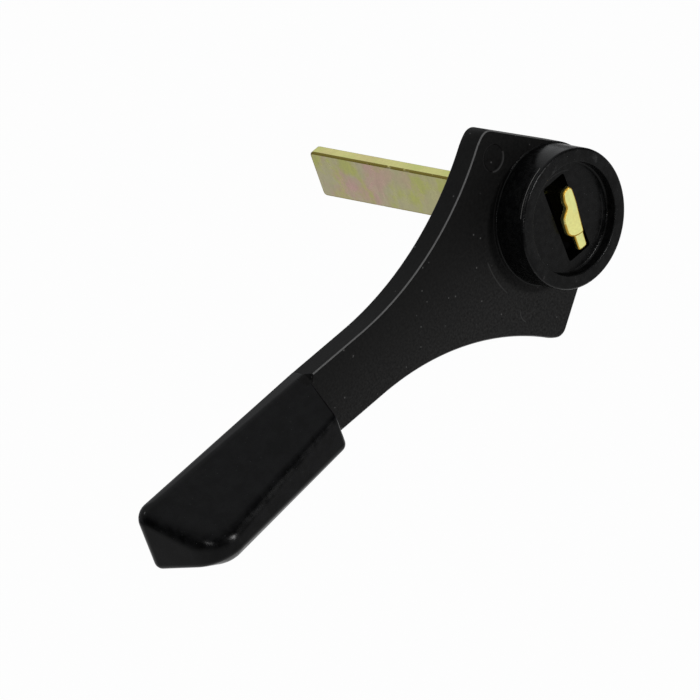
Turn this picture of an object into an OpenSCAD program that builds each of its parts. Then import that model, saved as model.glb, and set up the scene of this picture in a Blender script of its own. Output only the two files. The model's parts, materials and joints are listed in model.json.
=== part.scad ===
// Latch lever for a sliding glass door, with its floating tailpiece.
// Origin: on the pivot axis, on the plate face that the hub stands on.
// Room side is -Y, door side is +Y, the arm points along -X and +Z is up.

/* [Pivot hub] */
// Outside diameter of the hub that turns in the handle's bore
hub_d = 15.88; // [15.2:0.02:18]
// Height of the hub above the plate
hub_h = 4.2; // [3.6:0.1:6]
// Width of the raised rim around the hub's recess
rim_w = 1.6; // [1.2:0.1:1.8]
// Depth of the recess inside the rim
recess_depth = 1.25; // [0.8:0.05:1.6]
// Bevel that breaks the hub's outer edge
rim_bevel = 0.35; // [0.2:0.05:0.6]

/* [Plate] */
// Thickness of the lever plate
plate_t = 2.85; // [2.4:0.05:4]
// Shoulder of plate left showing around the hub
hub_shoulder = 0.2; // [0.1:0.05:0.6]
// Angle between the arm and the straight edges that run to the ears
wing_angle = 39.6; // [37:0.2:43]
// Corner radius of the two ears
ear_r = 1.5; // [0.8:0.1:2.2]
// Radius of the full shoulders that lead from the ears into the flanks
shoulder_r = 6.9; // [5:0.1:9]
// Distance from the pivot at which the shoulders turn into the flanks
shoulder_to = 6.2; // [5:0.1:8]
// Radius of the hollow flanks between shoulders and neck
flank_r = 37; // [32:0.5:42]
// Distance from the pivot at which the flanks run out into the neck
neck_from = 29.8; // [29:0.2:32]
// Width of the neck
neck_w = 8.1; // [7:0.1:9]

/* [Thumb grip] */
// Distance from the pivot to the foot of the grip's step
grip_from = 38.1; // [36:0.1:41]
// Distance from the pivot to the tip on the door side
lever_reach = 64.8; // [62:0.2:72]
// Width of the grip at the tip
tip_w = 7.8; // [7:0.1:8]
// Height of the grip above the plate at the step
grip_rise = 3.75; // [2.8:0.05:4.2]
// Angle at which the grip's top climbs toward the tip
grip_climb = 5.5; // [3:0.1:7]
// Radius of the nose between the top and the end wall, in side view
nose_r = 4.6; // [3:0.1:5]
// Lean of the end wall
end_lean = 16; // [8:1:20]
// Lean of the step wall
step_lean = 22; // [16:1:34]
// Angle of the thumb bevel against the plate
bevel_angle = 52.5; // [51.5:0.5:56]
// Depth of the bevel's lower edge below the plate's room-side face
bevel_drop = 1.1; // [0.8:0.05:1.2]
// Rounding of the ridge where the bevel meets the top
ridge_r = 1.8; // [1.2:0.1:1.9]
// Rounding of the grip's other edges on the room side
edge_r = 0.8; // [0.4:0.1:1]
// Rounding of the bevel's lower edge
crease_r = 1.05; // [0.6:0.05:1.1]
// Rounding of the grip's foot on the door side
back_r = 0.3; // [0.2:0.05:0.5]
// Rounding of the grip's tip on the door side
heel_r = 0.8; // [0.4:0.1:0.9]
// Step between the neck and the grip, out at the sides and in at the back
grip_step = 0.06; // [0.04:0.01:0.15]

/* [Tailpiece] */
// Width of the tailpiece
tail_w = 6; // [5:0.1:6.6]
// Thickness of the tailpiece
tail_t = 2; // [1.6:0.1:2.4]
// Reach of the tailpiece beyond the door-side face of the plate
tail_reach = 34; // [24:0.5:50]
// Corner radius at the tailpiece's free end
tail_corner_r = 0.5; // [0.3:0.1:1]
// Shoulder of the head beyond each edge of the tailpiece
head_shoulder = 1.0; // [0.8:0.1:1.1]
// Distance by which the head stays below the hub's rim
head_below_rim = 0.2; // [0.1:0.05:0.5]
// Swelling left on one side of the head by the staking punch
stake_swell = 0.3; // [0.2:0.05:0.35]
// Length of that swelling along the head
stake_len = 2.8; // [2:0.1:3.2]
// Distance of that swelling's middle from the pivot axis
stake_off = 0.8; // [0.4:0.1:1.2]

/* [Fits] */
// Side clearance of the tailpiece in its slot
float_gap = 0.8; // [0.75:0.05:1]
// End clearance of the head in its pocket
head_end_gap = 1.2; // [0.8:0.1:1.25]
// End clearance of the tailpiece in the narrow part of the slot
tail_end_gap = 0.4; // [0.3:0.05:0.5]
// Running clearance under the head's shoulders
seat_gap = 0.05; // [0.02:0.01:0.1]
// Height of the shoulder seat above the plate face
seat_z = 0.6; // [0.3:0.1:1]

/* [Hidden] */
black_paint = [0.06, 0.06, 0.065];
yellow_zinc = [0.72, 0.66, 0.34];
round_fn = 128;
ball_fn = 32;
head_steps = 24;
ear_steps = 10;
flank_steps = 36;
nose_steps = 4;
tail_corner_steps = 8;
neck_lap = 1;
relief_out = 0.5;
relief_top = 1;
eps = 0.01;

// Hub
hub_r = hub_d / 2;
recess_r = hub_r - rim_w;
floor_z = hub_h - recess_depth;
head_r = hub_r + hub_shoulder;

// Plate outline in the plan seen from the room: u runs along the arm, w across it
neck_h = neck_w / 2;
wing_dir = [cos(wing_angle), sin(wing_angle)];
wing_out = [-sin(wing_angle), cos(wing_angle)];
flank_c = [neck_from, neck_h + flank_r];
flank_turn = acos((neck_from - shoulder_to) / flank_r);
shoulder_c = flank_c - (flank_r + shoulder_r) * [cos(flank_turn), sin(flank_turn)];
ear_base = (head_r - ear_r) * wing_out;
to_shoulder = shoulder_c - ear_base;
along = to_shoulder * wing_dir;
ear_run = along + sqrt(along * along - to_shoulder * to_shoulder + pow(shoulder_r - ear_r, 2));
ear_c = ear_base + ear_run * wing_dir;
ear_out = ear_c - shoulder_c;
ear_turn = atan2(ear_out[1], ear_out[0]);

// Grip planes: height of the top, lower edge of the bevel and half width, by distance u along the arm
tip_h = tip_w / 2;
back_z = -plate_t;
grip_back_z = back_z + grip_step;
grip_h = neck_h + grip_step;
top_from = grip_from + grip_rise * tan(step_lean);
tip_run = lever_reach - grip_from;
function half_w(u) = grip_h + (tip_h - grip_h) * (u - grip_from) / tip_run;
function top_z(u) = grip_rise + (u - top_from) * tan(grip_climb);
function end_u(z) = lever_reach - (z - back_z) * tan(end_lean);
function step_u(z) = grip_from + z * tan(step_lean);
bevel_z = -bevel_drop;
bevel_out = 1 / cos(bevel_angle);

// Nose centre: one nose radius in from the end wall and below the top
nose_u = (end_u(grip_rise) * cos(end_lean) - nose_r + (top_from * tan(grip_climb)) * sin(end_lean)
    + nose_r * sin(end_lean) / cos(grip_climb))
    / (cos(end_lean) + tan(grip_climb) * sin(end_lean));
nose_z = top_z(nose_u) - nose_r / cos(grip_climb);
nose_from = 90 + grip_climb;
nose_to = end_lean;

// Tailpiece and its slot
head_w = tail_w + 2 * head_shoulder;
head_top = hub_h - head_below_rim;
head_foot = seat_z + seat_gap;
slot_t = tail_t + 2 * float_gap;
pocket_l = head_w + 2 * head_end_gap;
slot_l = tail_w + 2 * tail_end_gap;

// Point at an angle on a circle, and points along an arc from angle a0 to angle a1
function on_circle(c, r, a) = c + r * [cos(a), sin(a)];
function arc(c, r, a0, a1, n, first = 0) = [for (i = [first:n]) on_circle(c, r, a0 + (a1 - a0) * i / n)];

// Mirrors a list of plan points to the other side of the arm, in reverse order
function other_side(p) = [for (i = [len(p) - 1:-1:0]) [p[i][0], -p[i][1]]];

// Plan, drawn as seen from the room with the arm to the left, turned upright into the part's frame
module upright() {
    rotate([90, 0, 0])
        rotate([0, 0, 180])
            children();
}

// One side of the plate's outline, from the round end past ear, shoulder and hollow flank to the neck
half_outline = concat(
    arc([0, 0], head_r, 180, 90 + wing_angle, head_steps),
    arc(ear_c, ear_r, 90 + wing_angle, ear_turn, ear_steps),
    arc(shoulder_c, shoulder_r, ear_turn, flank_turn, ear_steps, 1),
    arc(flank_c, flank_r, 180 + flank_turn, 270, flank_steps, 1),
    [[grip_from + neck_lap, neck_h]]
);

module plate() {
    difference() {
        translate([0, 0, back_z])
            linear_extrude(height = plate_t)
                polygon(concat(half_outline, other_side(half_outline)));
        neck_relief();
    }
}

// Hub with its rim and recess, turned in one profile
module hub() {
    rotate_extrude($fn = round_fn)
        polygon([
            [0, -plate_t / 2],
            [hub_r, -plate_t / 2],
            [hub_r, hub_h - rim_bevel],
            [hub_r - rim_bevel, hub_h],
            [recess_r, hub_h],
            [recess_r, floor_z],
            [0, floor_z]
        ]);
}

// A ball of the grip, at distance u along the arm, w across it and height z
module ball(u, w, z, r) {
    translate([u, w, z])
        sphere(r = r, $fn = ball_fn);
}

// Across-arm place of a ball that touches the bevel from inside
function bevel_w(u, z, r) = -half_w(u) + (z + r * bevel_out - bevel_z) / tan(bevel_angle);

// Thumb grip: rolled ridge, rounded nose and flat bevel, drawn tight around balls set in its corners
module grip() {
    ridge_from = step_u(grip_rise - ridge_r) + ridge_r / cos(step_lean);
    ridge_up = top_z(ridge_from) - ridge_r;
    wall_from = step_u(grip_rise - edge_r) + edge_r / cos(step_lean);
    foot_u = grip_from + back_r / cos(step_lean);
    hull() {
        ball(ridge_from, bevel_w(ridge_from, ridge_up, ridge_r), ridge_up, ridge_r);
        ball(wall_from, half_w(wall_from) - edge_r, top_z(wall_from) - edge_r, edge_r);
        for (i = [0:nose_steps]) {
            a = nose_from + (nose_to - nose_from) * i / nose_steps;
            ridge_u = nose_u + (nose_r - ridge_r) * cos(a);
            ridge_z = nose_z + (nose_r - ridge_r) * sin(a);
            wall_u = nose_u + (nose_r - edge_r) * cos(a);
            wall_z = nose_z + (nose_r - edge_r) * sin(a);
            ball(ridge_u, bevel_w(ridge_u, ridge_z, ridge_r), ridge_z, ridge_r);
            ball(wall_u, half_w(wall_u) - edge_r, wall_z, edge_r);
        }
        crease_ball(grip_from + crease_r);
        crease_ball(end_u(bevel_z) - crease_r / cos(end_lean));
        for (s = [-1, 1]) {
            ball(foot_u, s * (half_w(foot_u) - back_r), -back_r, back_r);
            ball(foot_u, s * (half_w(foot_u) - back_r), grip_back_z + back_r, back_r);
            ball(lever_reach - heel_r, s * (tip_h - heel_r), grip_back_z + heel_r, heel_r);
        }
    }
}

// Ball that rounds the lower edge of the bevel where it meets the side of the grip
module crease_ball(u) {
    ball(u, -half_w(u) + crease_r, bevel_z + crease_r * (tan(bevel_angle) - bevel_out), crease_r);
}

// Corner of the neck that is cut away level with the bevel, so that the bevel runs out clear of it
module neck_relief() {
    relief_z = bevel_z - relief_out * tan(bevel_angle);
    relief_w = -grip_h - relief_out;
    translate([grip_from, 0, 0])
        rotate([90, 0, 90])
            linear_extrude(height = 2 * neck_lap)
                polygon([
                    [relief_w, relief_z],
                    [relief_w + (relief_top - relief_z) / tan(bevel_angle), relief_top],
                    [relief_w, relief_top]
                ]);
}

// Stepped slot for the tailpiece: a wide pocket above, a narrow way through below
module tail_slot() {
    translate([-slot_t / 2, -pocket_l / 2, seat_z])
        cube([slot_t, pocket_l, hub_h]);
    translate([-slot_t / 2, -slot_l / 2, back_z - eps])
        cube([slot_t, slot_l, plate_t + hub_h]);
}

// Die-cast lever: plate, hub and thumb grip in one casting
module lever() {
    color(black_paint)
        upright()
            difference() {
                union() {
                    plate();
                    hub();
                    grip();
                }
                tail_slot();
            }
}

// Flat steel tailpiece with a shouldered head, staked at its end
tail_end = back_z - tail_reach;
tail_half = [
    [head_w / 2, head_top],
    [head_w / 2, head_foot],
    [tail_w / 2, head_foot]
];
tail_corner_w = tail_w / 2 - tail_corner_r;
tail_corner_z = tail_end + tail_corner_r;
tail_outline = concat(
    tail_half,
    arc([tail_corner_w, tail_corner_z], tail_corner_r, 0, -90, tail_corner_steps),
    arc([-tail_corner_w, tail_corner_z], tail_corner_r, -90, -180, tail_corner_steps),
    [for (i = [len(tail_half) - 1:-1:0]) [-tail_half[i][0], tail_half[i][1]]]
);

module tailpiece() {
    color(yellow_zinc)
        upright() {
            translate([-tail_t / 2, 0, 0])
                rotate([90, 0, 90])
                    linear_extrude(height = tail_t)
                        polygon(tail_outline);
            translate([0, stake_off - stake_len / 2, head_foot])
                cube([tail_t / 2 + stake_swell, stake_len, head_top - head_foot]);
        }
}

lever();
tailpiece();
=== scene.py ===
"""Looks of a latch lever for a sliding glass door: a black die casting and its yellow tailpiece."""

import json
import math

import bmesh
import bpy
from mathutils import Matrix, Vector


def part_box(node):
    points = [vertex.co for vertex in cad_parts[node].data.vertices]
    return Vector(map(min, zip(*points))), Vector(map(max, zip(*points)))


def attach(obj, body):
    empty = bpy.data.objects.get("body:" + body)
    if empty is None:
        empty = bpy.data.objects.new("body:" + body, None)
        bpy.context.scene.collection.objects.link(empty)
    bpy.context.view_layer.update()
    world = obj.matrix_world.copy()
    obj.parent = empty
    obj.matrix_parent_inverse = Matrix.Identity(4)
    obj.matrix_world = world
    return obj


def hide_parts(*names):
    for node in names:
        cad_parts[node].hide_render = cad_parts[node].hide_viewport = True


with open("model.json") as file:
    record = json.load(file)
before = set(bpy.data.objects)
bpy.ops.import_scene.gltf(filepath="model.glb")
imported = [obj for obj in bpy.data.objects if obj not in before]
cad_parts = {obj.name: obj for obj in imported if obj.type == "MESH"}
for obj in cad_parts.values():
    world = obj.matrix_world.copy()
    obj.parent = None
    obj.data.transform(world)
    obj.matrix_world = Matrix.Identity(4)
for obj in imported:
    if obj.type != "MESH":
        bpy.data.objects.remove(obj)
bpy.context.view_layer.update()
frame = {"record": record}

# Sizes in millimetres, in the plan seen from the room: u along the arm, w across it, n out to the room
MM = 0.001
mounts = {mount["name"]: mount for mount in frame["record"]["mounts"]}
lever_low, lever_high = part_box("lever")
tail_low, tail_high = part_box("tailpiece")

# Casting
HUB_R = mounts["pivot_hub"]["dims"]["r_mm"]
HUB_H = 4.2
RIM_W = 1.6
RIM_ROUND = 0.3
RECESS_DEPTH = 1.25
HUB_FILLET = 0.16
PLATE_T = lever_high.y / MM
PLATE_ROUND = 0.13
HEAD_R = HUB_R + 0.2
WING_ANGLE = 39.6
EAR_R = 1.5
SHOULDER_R = 6.9
SHOULDER_TO = 6.2
FLANK_R = 37
NECK_FROM = 29.8
NECK_H = 4.04

# Degrees: corners sharper than the first stay sharp, facets flatter than the second are joined
SHARP_ANGLE = 34
FLAT_ANGLE = 1.2

# Thumb grip
GRIP_FROM = 38.1
GRIP_LAP = 1.0
GRIP_PROUD = 0.02
REACH = -lever_low.x / MM
TIP_H = 3.9
GRIP_RISE = 3.73
GRIP_CLIMB = math.radians(5.5)
NOSE_R = 4.65
END_LEAN = math.radians(16.2)
STEP_LEAN = math.radians(21.8)
BEVEL_ANGLE = math.radians(52.5)
BEVEL_DROP = 1.08
RIDGE_R = 1.3
NOSE_ROLL_R = 2.6
NOSE_EDGE_R = 0.85
EDGE_R = 1.05
CREASE_R = 1.05
CORNER_R = 1.2
TIP_CORNER_R = 1.8
BACK_R = 0.3
HEEL_R = {-1: 1.1, 1: 1.0}
STEP_R = 0.4
FOOT_R = 0.12

# Tailpiece and its slot
HEAD_OVERHANG = 0.3
TAIL_T = 2 * (tail_high.x / MM - HEAD_OVERHANG)
TAIL_W = 6.0
END_GAP = 0.03
TAIL_END = -tail_high.y / MM + END_GAP
TAIL_END_SKEW = 0.27
TAIL_ROUND = 0.24
HEAD_FOOT = 0.65
HEAD_TOP = -tail_low.y / MM
SLOT_T = 3.5
POCKET_L = 9.6
SLOT_L = 6.8
SEAT_N = 0.6


def plan_to_row(u, w, n):
    """Row-frame point in metres for a plan point in millimetres."""
    return Vector((-u, -n, -w)) * MM


def arc(centre, radius, start, stop, steps):
    """Points on an arc between two angles in degrees, both ends included."""
    turn = [math.radians(start + (stop - start) * i / steps) for i in range(steps + 1)]
    return [(centre[0] + radius * math.cos(a), centre[1] + radius * math.sin(a)) for a in turn]


def area_sign(outline):
    """1 where the outline runs anticlockwise, -1 where it runs clockwise."""
    pairs = zip(outline, outline[1:] + outline[:1])
    return 1 if sum(a[0] * b[1] - b[0] * a[1] for a, b in pairs) > 0 else -1


def inset(outline, distance):
    """The outline moved inward by a distance, each point along its own mitre."""
    side = area_sign(outline)
    moved = []
    for i, point in enumerate(outline):
        here = Vector(point)
        into = (here - Vector(outline[i - 1])).normalized()
        away = (Vector(outline[(i + 1) % len(outline)]) - here).normalized()
        normals = [Vector((-d.y, d.x)) * side for d in (into, away)]
        mitre = (normals[0] + normals[1]).normalized()
        moved.append(here + mitre * distance / max(0.5, mitre.dot(normals[0])))
    return [tuple(p) for p in moved]


def soften(outline, radius, steps=4):
    """The outline with each corner rounded, by no more than its shorter side allows."""
    share = 0.45
    rounded = []
    for i, point in enumerate(outline):
        here = Vector(point)
        before = Vector(outline[i - 1]) - here
        after = Vector(outline[(i + 1) % len(outline)]) - here
        cut = min(radius, share * before.length, share * after.length)
        start, stop = here + before.normalized() * cut, here + after.normalized() * cut
        for k in range(steps + 1):
            t = k / steps
            rounded.append(tuple(start * (1 - t) ** 2 + here * 2 * t * (1 - t) + stop * t * t))
    return rounded


def finished(name, bm, materials):
    """A new object from the mesh under construction, with its normals outward."""
    bmesh.ops.recalc_face_normals(bm, faces=bm.faces)
    mesh = bpy.data.meshes.new(name)
    bm.to_mesh(mesh)
    bm.free()
    for material in materials:
        mesh.materials.append(material)
    piece = bpy.data.objects.new(name, mesh)
    bpy.context.scene.collection.objects.link(piece)
    return piece


def loft(name, rings, materials, marks=None):
    """Closed solid through rings of points; marks gives each band's share of edge wear."""
    bm = bmesh.new()
    edge = bm.faces.layers.float.new("edge")
    rows = [[bm.verts.new(point) for point in ring] for ring in rings]
    for band, (low, high) in enumerate(zip(rows, rows[1:])):
        for i in range(len(low)):
            face = bm.faces.new((low[i - 1], low[i], high[i], high[i - 1]))
            face[edge] = marks[band] if marks else 0.0
    bm.faces.new(rows[0])
    bm.faces.new(rows[-1])
    return finished(name, bm, materials)


def slab(name, outline, low, high, rounds, to_row, materials, steps=4):
    """Solid of one outline from low to high, with its two edges rounded."""
    sections = []
    for i in range(steps + 1):
        a = math.pi / 2 * i / steps
        sections.append((rounds[0] * (1 - math.sin(a)), low + rounds[0] * (1 - math.cos(a)), 0.5))
    for i in range(steps + 1):
        a = math.pi / 2 * i / steps
        sections.append((rounds[1] * (1 - math.cos(a)), high - rounds[1] * (1 - math.sin(a)), 1.0))
    rings = [[to_row(*point, height) for point in inset(outline, cut)] for cut, height, _ in sections]
    marks = [a[2] if a[2] == b[2] else 0.0 for a, b in zip(sections, sections[1:])]
    return loft(name, rings, materials, marks)


def turned(name, profile, materials, steps=192):
    """Solid turned about the pivot axis from a profile of radius, height and edge wear."""
    rings = []
    for radius, n, _ in profile:
        turn = [2 * math.pi * i / steps for i in range(steps)]
        rings.append([plan_to_row(radius * math.cos(a), radius * math.sin(a), n) for a in turn])
    marks = [min(a[2], b[2]) for a, b in zip(profile, profile[1:])]
    return loft(name, rings, materials, marks)


def combine(piece, tool, operation):
    """Adds the tool to the piece or cuts it away, and removes the tool."""
    change = piece.modifiers.new("combine", "BOOLEAN")
    change.object = tool
    change.operation = operation
    change.solver = "EXACT"
    change.material_mode = "TRANSFER"
    depsgraph = bpy.context.evaluated_depsgraph_get()
    mesh = bpy.data.meshes.new_from_object(piece.evaluated_get(depsgraph))
    piece.modifiers.clear()
    old = piece.data
    piece.data = mesh
    bpy.data.meshes.remove(old)
    bpy.data.objects.remove(tool)


def shade(piece, angle):
    """Smooth shading that keeps corners sharper than the angle, with flats that stay flat."""
    bm = bmesh.new()
    bm.from_mesh(piece.data)
    weld = 0.0004 * MM
    bmesh.ops.remove_doubles(bm, verts=bm.verts, dist=weld)
    bmesh.ops.dissolve_degenerate(bm, edges=bm.edges, dist=weld)
    bm.to_mesh(piece.data)
    bm.free()
    for face in piece.data.polygons:
        face.use_smooth = True
    piece.data.set_sharp_from_angle(angle=math.radians(angle))
    even = piece.modifiers.new("even_flats", "WEIGHTED_NORMAL")
    even.weight = 100
    even.keep_sharp = True


# Shader building

def node(tree, kind, inputs=None, **settings):
    """New node of a tree, with its settings and with values or links on its inputs."""
    made = tree.nodes.new("ShaderNode" + kind)
    for name, value in settings.items():
        setattr(made, name, value)
    for key, value in (inputs or {}).items():
        if isinstance(value, bpy.types.NodeSocket):
            tree.links.new(value, made.inputs[key])
        else:
            made.inputs[key].default_value = value
    return made


def reckon(tree, a, b, operation="ADD"):
    """One step of arithmetic on two values."""
    return node(tree, "Math", {0: a, 1: b}, operation=operation).outputs[0]


def ramp(tree, value, start, stop, low=0.0, high=1.0):
    """Value carried from one span to another, smooth at both ends and held beyond them."""
    spans = {"Value": value, "From Min": start, "From Max": stop, "To Min": low, "To Max": high}
    return node(tree, "MapRange", spans, interpolation_type="SMOOTHSTEP").outputs["Result"]


def blend(tree, share, first, second):
    """Colour between two colours."""
    return node(tree, "Mix", {0: share, 6: first, 7: second}, data_type="RGBA").outputs[2]


def new_group(name, inputs, outputs):
    """Shader node group with float inputs and outputs: its tree, its entry and a way to set its exit."""
    tree = bpy.data.node_groups.new(name, "ShaderNodeTree")
    for label, value in inputs.items():
        socket = tree.interface.new_socket(label, in_out="INPUT", socket_type="NodeSocketFloat")
        socket.default_value = value
    for label in outputs:
        tree.interface.new_socket(label, in_out="OUTPUT", socket_type="NodeSocketFloat")
    return tree, tree.nodes.new("NodeGroupInput").outputs, tree.nodes.new("NodeGroupOutput").inputs


def place_in(tree, size):
    """Coordinates on the piece, counted in units of a size in millimetres."""
    here = node(tree, "TexCoord").outputs["Object"]
    count = reckon(tree, 1 / MM, size, "DIVIDE")
    return node(tree, "VectorMath", {0: here, "Scale": count}, operation="SCALE").outputs[0]


def noise(tree, size, detail=2.0, roughness=0.5):
    """Cloudy value about as coarse as a size in millimetres."""
    settings = {"Vector": place_in(tree, size), "Scale": 1.0, "Detail": detail, "Roughness": roughness}
    return node(tree, "TexNoise", settings).outputs[0]


def build_cast_grain():
    """Fine grain of a cast and painted face, over slow waves."""
    tree, given, result = new_group("cast_grain", {"Size": 0.14}, ["Height", "Cloud"])
    fine = noise(tree, given["Size"], 3.0, 0.6)
    coarse = noise(tree, reckon(tree, given["Size"], 5.0, "MULTIPLY"), 2.0)
    cloud = noise(tree, reckon(tree, given["Size"], 2.6, "MULTIPLY"), 4.0, 0.7)
    tree.links.new(reckon(tree, fine, reckon(tree, coarse, 0.5, "MULTIPLY")), result["Height"])
    tree.links.new(ramp(tree, cloud, 0.35, 0.65), result["Cloud"])
    return tree


def build_edge_wear():
    """Where handling has worn the marked edges."""
    tree, given, result = new_group("edge_wear", {"Cover": 0.5}, ["Worn"])
    edge = node(tree, "Attribute", attribute_name="edge").outputs["Fac"]
    bare = reckon(tree, 1.0, given["Cover"], "SUBTRACT")
    patch = ramp(tree, noise(tree, 1.6, 4.0, 0.65), bare, reckon(tree, bare, 0.12))
    tree.links.new(reckon(tree, edge, patch, "MULTIPLY"), result["Worn"])
    return tree


def build_specks():
    """Scattered pale specks, one in some of the cells."""
    tree, given, result = new_group("specks", {"Spacing": 2.0, "Size": 0.05, "Share": 0.3}, ["Speck"])
    cells = node(tree, "TexVoronoi", {"Vector": place_in(tree, given["Spacing"]), "Scale": 1.0})
    chance = node(tree, "SeparateColor", {0: cells.outputs["Color"]}).outputs[0]
    picked = reckon(tree, chance, given["Share"], "LESS_THAN")
    reach = reckon(tree, given["Size"], given["Spacing"], "DIVIDE")
    spot = ramp(tree, cells.outputs["Distance"], reach, reckon(tree, reach, 0.4, "MULTIPLY"))
    tree.links.new(reckon(tree, picked, spot, "MULTIPLY"), result["Speck"])
    return tree


cast_grain = build_cast_grain()
edge_wear = build_edge_wear()
specks = build_specks()


def use_group(tree, group, **inputs):
    """A node group at work in a tree."""
    made = tree.nodes.new("ShaderNodeGroup")
    made.node_tree = group
    for label, value in inputs.items():
        made.inputs[label].default_value = value
    return made.outputs


def new_material(name):
    """Empty material: its tree and its main shader."""
    material = bpy.data.materials.new(name)
    material.use_nodes = True
    return material, material.node_tree, material.node_tree.nodes["Principled BSDF"]


def rub_and_glint_arc(tree, centre, radius, width, start, stop):
    """Mask of an arc around a centre of the plan, between two angles in degrees; it serves rubbed arcs and
    painted highlight arcs alike.
    """
    here = node(tree, "SeparateXYZ", {0: node(tree, "TexCoord").outputs["Object"]}).outputs
    along = reckon(tree, -centre[0] * MM, here["X"], "SUBTRACT")
    across = reckon(tree, -centre[1] * MM, here["Z"], "SUBTRACT")
    squares = reckon(tree, reckon(tree, along, along, "MULTIPLY"), reckon(tree, across, across, "MULTIPLY"))
    off = reckon(tree, reckon(tree, squares, 0.5, "POWER"), radius * MM, "SUBTRACT")
    ring = ramp(tree, node(tree, "Math", {0: off}, operation="ABSOLUTE").outputs[0], width * MM, 0.0)
    angle = reckon(tree, across, along, "ARCTAN2")
    fade = math.radians(3)
    after = ramp(tree, angle, math.radians(start), math.radians(start) + fade)
    before = ramp(tree, angle, math.radians(stop), math.radians(stop) - fade)
    front = ramp(tree, here["Y"], 1.2 * MM, 0.4 * MM)
    between = reckon(tree, after, before, "MULTIPLY")
    return reckon(tree, reckon(tree, ring, front, "MULTIPLY"), between, "MULTIPLY")


def black_paint(name, colour, bare, roughness, grain, depth, wear, specular, painted_glow_and_specks=0.0, rings=()):
    """Black paint on a casting, with grain, worn edges, specks, rubbed rings and painted highlight arcs, and
    where asked a painted light that makes it lighter towards the bottom.
    """
    material, tree, shader = new_material(name)
    grains = use_group(tree, cast_grain, Size=grain)
    worn = use_group(tree, edge_wear, Cover=wear)["Worn"]
    speck = use_group(tree, specks, Spacing=1.0, Size=0.14, Share=0.35)["Speck"]
    # Painted light: the paint is made lighter towards the bottom, through grit, standing for light from the
    # floor below; the same setting raises the share of pale specks.
    if painted_glow_and_specks:
        height = node(tree, "SeparateXYZ", {0: node(tree, "TexCoord").outputs["Object"]}).outputs["Z"]
        glow_from, glow_full, grit_size = 8, -8, 0.27
        glow_by_height = ramp(tree, height, glow_from * MM, glow_full * MM, 0.0, painted_glow_and_specks)
        grit = ramp(tree, noise(tree, grit_size, 3.0, 0.65), 0.2, 0.8)
        painted_glow = reckon(tree, glow_by_height, grit, "MULTIPLY")
        worn = reckon(tree, worn, painted_glow, "MAXIMUM")
    # Rubbed arcs, and painted highlight arcs about the pin marks
    for *ring, share in rings:
        worn = reckon(tree, worn, reckon(tree, rub_and_glint_arc(tree, *ring), share, "MULTIPLY"), "MAXIMUM")
    worn = reckon(tree, worn, reckon(tree, speck, 0.6 if painted_glow_and_specks else 0.12, "MULTIPLY"), "MAXIMUM")
    tone = blend(tree, grains["Cloud"], (*[c * 0.55 for c in colour], 1), (*[c * 1.5 for c in colour], 1))
    tree.links.new(blend(tree, worn, tone, (*bare, 1)), shader.inputs["Base Color"])
    gloss = ramp(tree, grains["Cloud"], 0.0, 1.0, roughness - 0.03, roughness + 0.04)
    tree.links.new(reckon(tree, gloss, reckon(tree, worn, 0.1, "MULTIPLY")), shader.inputs["Roughness"])
    bump = node(tree, "Bump", {"Height": grains["Height"], "Distance": depth * MM, "Strength": 1.0})
    tree.links.new(bump.outputs[0], shader.inputs["Normal"])
    shader.inputs["Specular IOR Level"].default_value = specular
    return material


def zinc(name, plain, pink, green, edge_tone, roughness):
    """Yellow chromated zinc: soft pink and green clouds, drawn streaks and dull edges."""
    material, tree, shader = new_material(name)
    grains = use_group(tree, cast_grain, Size=0.1)
    speck = use_group(tree, specks, Spacing=1.1, Size=0.07, Share=0.35)["Speck"]
    worn = use_group(tree, edge_wear, Cover=0.7)["Worn"]
    here = node(tree, "TexCoord").outputs["Object"]
    drawn = node(tree, "VectorMath", {0: here, 1: (900, 900, 160)}, operation="MULTIPLY").outputs[0]
    streak = node(tree, "TexNoise", {"Vector": drawn, "Scale": 2.2, "Detail": 3.0}).outputs[0]
    depth = node(tree, "SeparateXYZ", {0: here}).outputs["Y"]
    blush = ramp(tree, noise(tree, 4.2, 4.0, 0.6), 0.4, 0.62)
    blush = reckon(tree, blush, ramp(tree, depth, 16 * MM, 30 * MM, 0.3, 1.0), "MULTIPLY")
    tint = ramp(tree, noise(tree, 3.1, 4.0, 0.6), 0.45, 0.7)
    tint = reckon(tree, tint, ramp(tree, depth, 30 * MM, 12 * MM, 0.0, 0.45))
    tone = blend(tree, blush, (*plain, 1), (*pink, 1))
    tone = blend(tree, tint, tone, (*green, 1))
    tone = blend(tree, ramp(tree, streak, 0.35, 0.75, 0.0, 0.1), tone, (*[c * 0.72 for c in plain], 1))
    tone = blend(tree, reckon(tree, grains["Cloud"], 0.22, "MULTIPLY"), tone, (*[c * 0.6 for c in plain], 1))
    tone = blend(tree, reckon(tree, speck, 0.5, "MULTIPLY"), tone, (*[c * 0.5 for c in plain], 1))
    tone = blend(tree, worn, tone, (*edge_tone, 1))
    tree.links.new(tone, shader.inputs["Base Color"])
    shader.inputs["Metallic"].default_value = 1.0
    gloss = ramp(tree, streak, 0.3, 0.7, roughness - 0.03, roughness + 0.04)
    tree.links.new(gloss, shader.inputs["Roughness"])
    height = reckon(tree, grains["Height"], reckon(tree, streak, 0.6, "MULTIPLY"))
    bump = node(tree, "Bump", {"Height": height, "Distance": 0.004 * MM, "Strength": 1.0})
    tree.links.new(bump.outputs[0], shader.inputs["Normal"])
    return material


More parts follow.
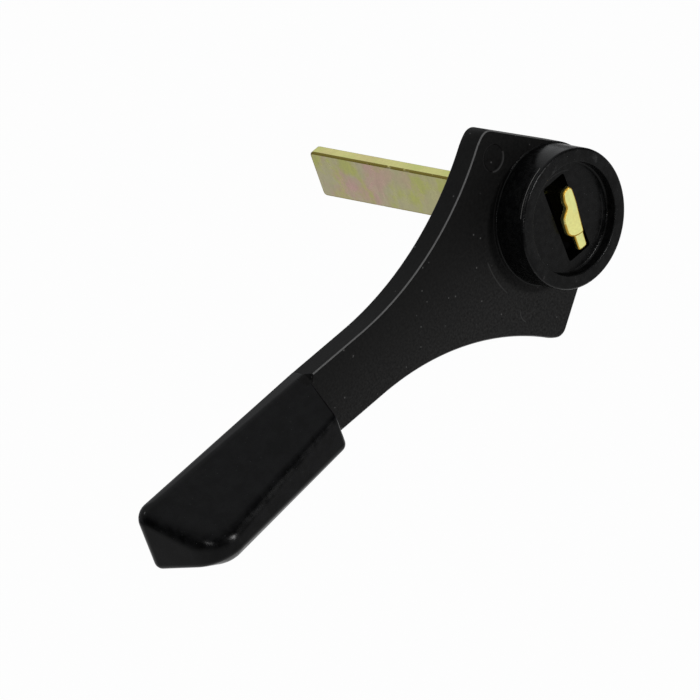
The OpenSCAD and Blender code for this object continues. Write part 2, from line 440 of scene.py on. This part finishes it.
# Arcs: centre, radius, width, start, stop and share of bare metal colour. The arcs about the axis are
# rubbed; the arcs about the pin marks are painted highlights on their walls.
AXIS = (0.0, 0.0)
UPPER_PIN, UPPER_PIN_R = (4.36, -10.3), 1.56
LOWER_PIN, LOWER_PIN_R = (7.0, 8.1), 1.5
PLATE_RUBS_AND_GLINTS = [
    (AXIS, 10.2, 0.16, -3, 28, 0.24), (AXIS, 8.35, 0.08, -60, 60, 0.16),
    # Painted highlights: the arcs about the pin marks
    (UPPER_PIN, UPPER_PIN_R, 0.16, 60, 178, 0.3), (UPPER_PIN, UPPER_PIN_R, 0.1, -120, 40, 0.08),
    (LOWER_PIN, LOWER_PIN_R, 0.13, -30, 40, 0.35),
]
FLOOR_RINGS = [(AXIS, 5.3, 0.12, -120, -20, 0.25), (AXIS, 5.6, 0.12, 120, 175, 0.2)]

# Finishes: colours are linear, grain and depth are in millimetres
grained_black = black_paint(
    "grained_black", (0.0034, 0.0033, 0.0032), bare=(0.108, 0.107, 0.106), roughness=0.5,
    grain=0.16, depth=0.02, wear=0.8, specular=0.07, painted_glow_and_specks=0.185, rings=PLATE_RUBS_AND_GLINTS)
satin_black = black_paint(
    "satin_black", (0.0024, 0.0024, 0.0026), bare=(0.045, 0.045, 0.045), roughness=0.23,
    grain=0.6, depth=0.0001, wear=0.3, specular=0.11)
hub_black = black_paint(
    "hub_black", (0.0036, 0.0036, 0.0037), bare=(0.05, 0.05, 0.05), roughness=0.25,
    grain=0.3, depth=0.0014, wear=0.36, specular=0.12, rings=FLOOR_RINGS)
flash_black = black_paint(
    "flash_black", (0.004, 0.004, 0.004), bare=(0.09, 0.088, 0.085), roughness=0.3,
    grain=0.3, depth=0.002, wear=0.9, specular=0.12)
# Painted shade: a near-black, nearly matt finish for the slot's walls and the bar's top, which stand in deep
# shade.
painted_slot_shade = black_paint(
    "painted_slot_shade", (0.0012, 0.0012, 0.0011), bare=(0.01, 0.01, 0.01), roughness=0.7,
    grain=0.2, depth=0.01, wear=0.2, specular=0.02)
yellow_zinc = zinc(
    "yellow_zinc", (0.38, 0.35, 0.22), pink=(0.44, 0.28, 0.25), green=(0.37, 0.38, 0.11),
    edge_tone=(0.2, 0.16, 0.03), roughness=0.3)
# Painted light: a lighter copy of the yellow zinc for the bar's narrow faces, which catch the light.
painted_lit_zinc = zinc(
    "painted_lit_zinc", (0.82, 0.78, 0.3), pink=(0.78, 0.66, 0.3), green=(0.7, 0.74, 0.24),
    edge_tone=(0.2, 0.16, 0.03), roughness=0.34)
staked_zinc = zinc(
    "staked_zinc", (0.98, 0.92, 0.34), pink=(0.95, 0.74, 0.24), green=(0.9, 0.92, 0.38),
    edge_tone=(0.55, 0.34, 0.05), roughness=0.42)

# Outline of the plate

def plate_outline():
    """Round end, straight wings, ears, shoulders, hollow flanks and neck, all the way round."""
    wing = math.radians(WING_ANGLE)
    wing_dir, wing_out = Vector((math.cos(wing), math.sin(wing))), Vector((-math.sin(wing), math.cos(wing)))
    flank_c = Vector((NECK_FROM, NECK_H + FLANK_R))
    turn = math.acos((NECK_FROM - SHOULDER_TO) / FLANK_R)
    shoulder_c = flank_c - Vector((math.cos(turn), math.sin(turn))) * (FLANK_R + SHOULDER_R)
    ear_base = wing_out * (HEAD_R - EAR_R)
    to_shoulder = shoulder_c - ear_base
    along = to_shoulder.dot(wing_dir)
    run = along + math.sqrt(along ** 2 - to_shoulder.length_squared + (SHOULDER_R - EAR_R) ** 2)
    ear_c = ear_base + wing_dir * run
    flank_turn = math.degrees(turn)
    ear_turn = math.degrees(math.atan2(ear_c.y - shoulder_c.y, ear_c.x - shoulder_c.x))
    half = arc((0, 0), HEAD_R, 180, 90 + WING_ANGLE, 40)
    half += arc(ear_c, EAR_R, 90 + WING_ANGLE, ear_turn, 16)
    half += arc(shoulder_c, SHOULDER_R, ear_turn, flank_turn, 16)[1:]
    half += arc(flank_c, FLANK_R, 180 + flank_turn, 270, 60)[1:]
    half += [(GRIP_FROM + GRIP_LAP, NECK_H)]
    return half + [(u, -w) for u, w in reversed(half[1:])]


# Hub profile

def hub_profile():
    """Radius, height and edge wear from the foot over the rim to the middle of the recess."""
    recess_r = HUB_R - RIM_W
    floor_n = HUB_H - RECESS_DEPTH
    inner_round, corner = 0.14, 0.25
    foot = arc((HUB_R + HUB_FILLET, HUB_FILLET), HUB_FILLET, 270, 180, 5)
    outer = arc((HUB_R - RIM_ROUND, HUB_H - RIM_ROUND), RIM_ROUND, 0, 90, 6)
    inner = arc((recess_r + inner_round, HUB_H - inner_round), inner_round, 90, 180, 5)
    bottom = arc((recess_r - corner, floor_n + corner), corner, 0, -90, 5)
    profile = [(HUB_R + HUB_FILLET, -PLATE_T / 2, 0.0)]
    profile += [(r, n, 0.0) for r, n in foot]
    profile += [(r, n, 0.6) for r, n in outer]
    profile += [(r, n, 0.5) for r, n in inner]
    profile += [(r, n, 0.0) for r, n in bottom]
    return profile + [(SLOT_T / 4, floor_n, 0.0)]


# Thumb grip

def half_width(u):
    """Half of the grip's width, which tapers to the tip."""
    start = NECK_H + GRIP_PROUD
    return start + (TIP_H - start) * (u - GRIP_FROM) / (REACH - GRIP_FROM)


def top_height(u):
    """Height of the grip's climbing top."""
    return GRIP_RISE + (u - GRIP_FROM - GRIP_RISE * math.tan(STEP_LEAN)) * math.tan(GRIP_CLIMB)


def end_reach(n):
    """Along-arm place of the leaning end wall."""
    return REACH - (n + PLATE_T) * math.tan(END_LEAN)


def bevel_seat(u, n, radius):
    """Across-arm place of a ball that touches the thumb bevel from inside."""
    lift = n + radius / math.cos(BEVEL_ANGLE) + BEVEL_DROP
    return -half_width(u) + lift / math.tan(BEVEL_ANGLE)


def nose_centre():
    """One nose radius in from the end wall and below the top."""
    lean, climb = END_LEAN, GRIP_CLIMB
    top_from = GRIP_FROM + GRIP_RISE * math.tan(STEP_LEAN)
    u = end_reach(GRIP_RISE) * math.cos(lean) - NOSE_R
    u += (top_from * math.tan(climb) + NOSE_R / math.cos(climb)) * math.sin(lean)
    u /= math.cos(lean) + math.tan(climb) * math.sin(lean)
    return u, top_height(u) - NOSE_R / math.cos(climb)


def step_seat(radius):
    """Along-arm place of a ball that touches the step wall and the top from inside."""
    return GRIP_FROM + (GRIP_RISE - radius) * math.tan(STEP_LEAN) + radius / math.cos(STEP_LEAN)


def rolled_edge(w, n, radius, edge, start, stop, steps=5):
    """Small balls at the step that carry a roll of a larger radius up to the step's sharper edge."""
    balls = []
    for w_off, n_off in arc((0, 0), radius - edge, start, stop, steps):
        height = n + n_off
        u = GRIP_FROM + max(height, 0.0) * math.tan(STEP_LEAN) + edge / math.cos(STEP_LEAN)
        balls.append((u, w + w_off, height, edge))
    return balls


def crease_seat(u, radius):
    """Place across and height of a ball that touches the bevel and the side from inside."""
    n = -BEVEL_DROP + radius * (math.tan(BEVEL_ANGLE) - 1 / math.cos(BEVEL_ANGLE))
    return -half_width(u) + radius, n


def tip_corner(u, w, n, radius, steps=6):
    """Balls around the tip's corner below the bevel, which is rounder in plan than a ball there."""
    spread = TIP_CORNER_R - radius
    return [(around_u, around_w, n, radius)
            for around_u, around_w in arc((u - spread, w + spread), spread, -90, 0, steps)]


def grip_balls():
    """Balls that the grip is drawn tight around: u, w, n and radius."""
    bevel_turn = 90 + math.degrees(BEVEL_ANGLE)
    ridge_u, wall_u = step_seat(STEP_R), step_seat(EDGE_R)
    ridge_n = top_height(ridge_u) - RIDGE_R / math.cos(GRIP_CLIMB)
    balls = rolled_edge(bevel_seat(ridge_u, ridge_n, RIDGE_R), ridge_n, RIDGE_R, STEP_R, 90, bevel_turn)
    balls += rolled_edge(*crease_seat(GRIP_FROM, CREASE_R), CREASE_R, FOOT_R, bevel_turn, 180)
    balls.append((wall_u, half_width(wall_u) - EDGE_R, top_height(wall_u) - EDGE_R, EDGE_R))
    nose_u, nose_n = nose_centre()
    nose_steps = 12
    for i in range(nose_steps + 1):
        a = math.pi / 2 + GRIP_CLIMB + (END_LEAN - math.pi / 2 - GRIP_CLIMB) * i / nose_steps
        roll_in = NOSE_R - NOSE_ROLL_R
        ridge_u, ridge_n = nose_u + roll_in * math.cos(a), nose_n + roll_in * math.sin(a)
        edge_in = NOSE_R - NOSE_EDGE_R
        wall_u, wall_n = nose_u + edge_in * math.cos(a), nose_n + edge_in * math.sin(a)
        balls.append((ridge_u, bevel_seat(ridge_u, ridge_n, NOSE_ROLL_R), ridge_n, NOSE_ROLL_R))
        balls.append((wall_u, half_width(wall_u) - NOSE_EDGE_R, wall_n, NOSE_EDGE_R))
    tip_u = end_reach(-BEVEL_DROP) - CORNER_R / math.cos(END_LEAN)
    tip_w, tip_n = crease_seat(tip_u, CORNER_R)
    balls += tip_corner(tip_u, tip_w, tip_n, CORNER_R)
    back_n = -PLATE_T + GRIP_PROUD
    foot_u = GRIP_FROM + FOOT_R / math.cos(STEP_LEAN)
    for side in (-1, 1):
        foot_w = side * (half_width(foot_u) - FOOT_R)
        balls += [(foot_u, foot_w, -BEVEL_DROP - BACK_R, FOOT_R), (foot_u, foot_w, back_n + FOOT_R, FOOT_R)]
        if side > 0:
            balls.append((foot_u, foot_w, -FOOT_R, FOOT_R))
        heel = HEEL_R[side]
        heel_ball = (REACH - heel, side * (TIP_H - heel), back_n + heel, heel)
        balls += tip_corner(*heel_ball) if side < 0 else [heel_ball]
    return balls


def grip_solid(materials, rows=20, columns=40):
    """The thumb grip, drawn tight around its balls."""
    bm = bmesh.new()
    for u, w, n, radius in grip_balls():
        for i in range(rows + 1):
            tilt = math.pi * i / rows
            count = 1 if i in (0, rows) else columns
            for k in range(count):
                turn = 2 * math.pi * k / count
                across = radius * math.sin(tilt)
                ball_u, ball_w = u + across * math.cos(turn), w + across * math.sin(turn)
                bm.verts.new(plan_to_row(ball_u, ball_w, n + radius * math.cos(tilt)))
    bm.faces.layers.float.new("edge")
    bmesh.ops.convex_hull(bm, input=bm.verts)
    spare = [v for v in bm.verts if not v.link_faces]
    bmesh.ops.delete(bm, geom=spare, context="VERTS")
    bmesh.ops.dissolve_limit(bm, angle_limit=math.radians(FLAT_ANGLE), verts=bm.verts, edges=bm.edges)
    return finished("grip", bm, materials)


# Lever

def pin_mark(centre, radius, depth):
    """Shallow round cutter for the mark of an ejector pin."""
    points, slope = 48, 0.12
    outline = arc(centre, radius, 0, 360 - 360 / points, points - 1)
    levels = ((slope, -depth), (-slope, depth))
    rings = [[plan_to_row(u, w, n) for u, w in inset(outline, cut)] for cut, n in levels]
    return loft("pin_mark", rings, [grained_black])


def rim_flash(start, stop, low, high, proud):
    """Thin ledge of casting flash on the hub's wall."""
    root = 0.4
    outer, inner = (arc((0, 0), HUB_R + off, start, stop, 40) for off in (proud, -root))
    outline = outer + inner[::-1]
    return slab("rim_flash", outline, low, high, (0.03, 0.05), plan_to_row, [flash_black], 2)


def block(length, low, high):
    """Straight-sided cutter of the slot's width, whose cut walls take the painted slot shade."""
    half_t, half_l = SLOT_T / 2, length / 2
    corners = [(-half_t, -half_l), (half_t, -half_l), (half_t, half_l), (-half_t, half_l)]
    outline = soften(corners, 0.35)
    rings = [[plan_to_row(u, w, n) for u, w in outline] for n in (low, high)]
    return loft("cutter", rings, [painted_slot_shade])


def neck_relief():
    """Cutter that takes the neck's corner down to the bevel, slanting in ahead of the step."""
    slope, out, top = math.tan(BEVEL_ANGLE), 0.5, 1.0
    side = -NECK_H - GRIP_PROUD - out
    low = -BEVEL_DROP - out * slope
    section = [(side, low), (side + (top - low) / slope, top), (side, top)]
    slant, lap = 1.0, 0.1
    starts = [GRIP_FROM - lap, GRIP_FROM + lap, GRIP_FROM - lap - slant]
    rings = [[plan_to_row(u, w, n) for u, (w, n) in zip(starts, section)],
             [plan_to_row(GRIP_FROM + 2 * GRIP_LAP, w, n) for w, n in section]]
    return loft("relief", rings, [grained_black])


plate_rounds = (PLATE_ROUND, PLATE_ROUND)
lever = slab("latch_lever", plate_outline(), -PLATE_T, 0, plate_rounds, plan_to_row, [grained_black])
combine(lever, pin_mark(UPPER_PIN, UPPER_PIN_R, depth=0.1), "DIFFERENCE")
combine(lever, pin_mark(LOWER_PIN, LOWER_PIN_R, depth=0.07), "DIFFERENCE")
combine(lever, neck_relief(), "DIFFERENCE")
combine(lever, turned("hub", hub_profile(), [hub_black]), "UNION")
combine(lever, rim_flash(start=-78, stop=-33, low=3.45, high=3.8, proud=0.06), "UNION")
combine(lever, grip_solid([satin_black]), "UNION")
combine(lever, block(POCKET_L, SEAT_N, HUB_H + 1), "DIFFERENCE")
combine(lever, block(SLOT_L, -PLATE_T - 1, SEAT_N + 1), "DIFFERENCE")
shade(lever, SHARP_ANGLE)
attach(lever, "lever")
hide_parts("lever")


# Tailpiece

def tail_to_row(w, n, u):
    """Row-frame point for the side view of the tailpiece."""
    return plan_to_row(u, w, n)


half_tail = TAIL_W / 2
bar_top = HEAD_FOOT + 0.5
TAIL_SIDE = [
    (half_tail, bar_top), (half_tail, TAIL_END),
    (-half_tail, TAIL_END + TAIL_END_SKEW), (-half_tail, bar_top),
]
STAKED_END = [
    (-1.10, -3.62), (0.10, -3.48), (0.39, -2.32), (0.28, -1.58), (1.34, -0.70), (1.47, 1.40),
    (0.53, 2.12), (-0.85, 2.30), (-0.94, 1.47), (-1.35, -1.60), (-1.40, -3.16),
]
STAKED_FOOT = [(0.55, 1.6), (0.60, 3.97), (-0.74, 4.0), (-0.9, 1.6)]
HEAD_NECK = [(-0.95, -3.4), (-0.05, -3.3), (0.05, 3.6), (-0.72, 3.7)]

half_t = TAIL_T / 2
bar_rounds = (TAIL_ROUND / 2, TAIL_ROUND)
bar_finishes = [yellow_zinc, painted_lit_zinc, painted_slot_shade]
bar_side = soften(TAIL_SIDE, 0.6)
tailpiece = slab("tailpiece_bar", bar_side, -half_t, half_t, bar_rounds, tail_to_row, bar_finishes)
for face in tailpiece.data.polygons:
    # Painted light by face direction: the narrow faces take the lighter zinc copy.
    painted_lit_face = abs(face.normal.z) > 0.8 or face.normal.y > 0.8
    # The face toward the room takes the painted slot shade.
    face.material_index = 2 if face.normal.y < -0.7 else int(painted_lit_face)

# Narrow neck, then the cap and the foot that the punch spread over it
neck_top, cap_low, foot_low, foot_top = (HEAD_TOP - drop for drop in (0.4, 0.55, 0.7, 0.2))
head_parts = [
    ("neck", soften(HEAD_NECK, 0.2), HEAD_FOOT, neck_top, (0.05, 0.05), yellow_zinc),
    ("staked", soften(STAKED_END, 0.55), cap_low, HEAD_TOP, (0.06, 0.2), staked_zinc),
    ("foot", soften(STAKED_FOOT, 0.35), foot_low, foot_top, (0.06, 0.16), staked_zinc),
]
for name, outline, low, high, rounds, finish in head_parts:
    combine(tailpiece, slab(name, outline, low, high, rounds, plan_to_row, [finish]), "UNION")
shade(tailpiece, SHARP_ANGLE)
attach(tailpiece, "tailpiece")
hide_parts("tailpiece")


# Camera

CAMERA_RIGHT = Vector((0.65155, -0.68784, -0.31993))
CAMERA_UP = Vector((0.55507, 0.14479, 0.81911))
CAMERA_BACK = Vector((-0.51709, -0.71127, 0.47614))
CAMERA_PLACE = Vector((-0.5397, -0.69841, 0.4708))
CAMERA_LENS = 465.09

camera_data = bpy.data.cameras.new("camera")
camera_data.lens = CAMERA_LENS
camera_data.sensor_width = 36
camera = bpy.data.objects.new("camera", camera_data)
turn = Matrix((CAMERA_RIGHT, CAMERA_UP, CAMERA_BACK)).transposed().to_4x4()
camera.matrix_world = Matrix.Translation(CAMERA_PLACE) @ turn
bpy.context.scene.collection.objects.link(camera)
bpy.context.scene.camera = camera

# Floor

WHITE_SHARE = 0.96
floor_mesh = bpy.data.meshes.new("floor")
half_floor, floor_z = 4.0, -0.08
corners = [(-1, -1), (1, -1), (1, 1), (-1, 1)]
floor_mesh.from_pydata([(x * half_floor, y * half_floor, floor_z) for x, y in corners], [], [(0, 1, 2, 3)])
floor = bpy.data.objects.new("floor", floor_mesh)
bpy.context.scene.collection.objects.link(floor)


def white_paper():
    """Floor that the camera sees white and that takes a faint shadow; in the metal it shows as a painted
    pool of light, bright near the part and on one side.
    """
    material, tree, shader = new_material("white_paper")
    tree.nodes.remove(shader)
    path = node(tree, "LightPath").outputs
    seen = reckon(tree, path["Is Camera Ray"], path["Is Glossy Ray"], "MAXIMUM")
    seen = reckon(tree, seen, path["Is Transmission Ray"], "MAXIMUM")
    matt = node(tree, "BsdfDiffuse", {"Color": (0.8, 0.8, 0.8, 1)}).outputs[0]
    # Painted light: the floor's glow in reflections fades away from the part and is brighter on one side, as
    # if lit from there.
    place = node(tree, "NewGeometry").outputs["Position"]
    far = node(tree, "VectorMath", {0: place}, operation="LENGTH").outputs["Value"]
    painted_light_side = (-0.73, 0.685, 0.0)
    side = node(tree, "VectorMath", {0: place, 1: painted_light_side}, operation="DOT_PRODUCT").outputs["Value"]
    near_edge, far_edge, half_turn = 0.15, 0.6, 0.14
    painted_floor_pool = ramp(tree, far, near_edge, far_edge, 1.0, 0.12)
    painted_floor_pool = reckon(tree, painted_floor_pool, ramp(tree, side, -half_turn, half_turn, 0.6, 1.0), "MULTIPLY")
    strength = reckon(tree, path["Is Camera Ray"], painted_floor_pool, "MAXIMUM")
    white = node(tree, "Emission", {"Color": (1, 1, 1, 1), "Strength": strength}).outputs[0]
    share = reckon(tree, seen, WHITE_SHARE, "MULTIPLY")
    mixed = node(tree, "MixShader", {0: share, 1: matt, 2: white}).outputs[0]
    tree.links.new(mixed, tree.nodes["Material Output"].inputs["Surface"])
    return material


floor_mesh.materials.append(white_paper())

# Light

LAMP_DISTANCE = 1.2


def studio(overhead, behind, horizon):
    """Soft light from above, less from behind and a dark band at the height of the camera."""
    world = bpy.data.worlds.new("studio")
    world.use_nodes = True
    tree = world.node_tree
    toward = node(tree, "SeparateXYZ", {0: node(tree, "TexCoord").outputs["Generated"]}).outputs
    above = ramp(tree, toward["Z"], 0.25, 1.0, horizon, overhead)
    back = ramp(tree, toward["Y"], 0.1, 0.6, 0.0, behind)
    shine = tree.nodes["Background"].inputs
    shine["Color"].default_value = (0.97, 0.985, 1.0, 1)
    tree.links.new(reckon(tree, above, back, "MAXIMUM"), shine["Strength"])
    return world


bpy.context.scene.world = studio(overhead=0.95, behind=0.72, horizon=0.03)


def softbox(name, toward, distance, size, radiance):
    """Round area lamp that looks back at the part, as bright as its radiance says."""
    lamp = bpy.data.lights.new(name, "AREA")
    lamp.shape = "DISK"
    lamp.size = size
    lamp.energy = math.pi * math.pi * size ** 2 / 4 * radiance
    obj = bpy.data.objects.new(name, lamp)
    obj.location = Vector(toward).normalized() * distance
    obj.rotation_mode = "QUATERNION"
    obj.rotation_quaternion = (-obj.location).to_track_quat("-Z", "Y")
    obj.visible_camera = False
    bpy.context.scene.collection.objects.link(obj)


softbox("lamp_above", (-0.533, 0.186, 0.819), LAMP_DISTANCE, size=0.09, radiance=60)
softbox("lamp_left", (-0.58, -0.79, 0.23), LAMP_DISTANCE, size=0.085, radiance=75)
softbox("lamp_right", (0.33, -0.94, 0.02), LAMP_DISTANCE, size=0.18, radiance=66)

bpy.context.scene.view_settings.view_transform = "Standard"
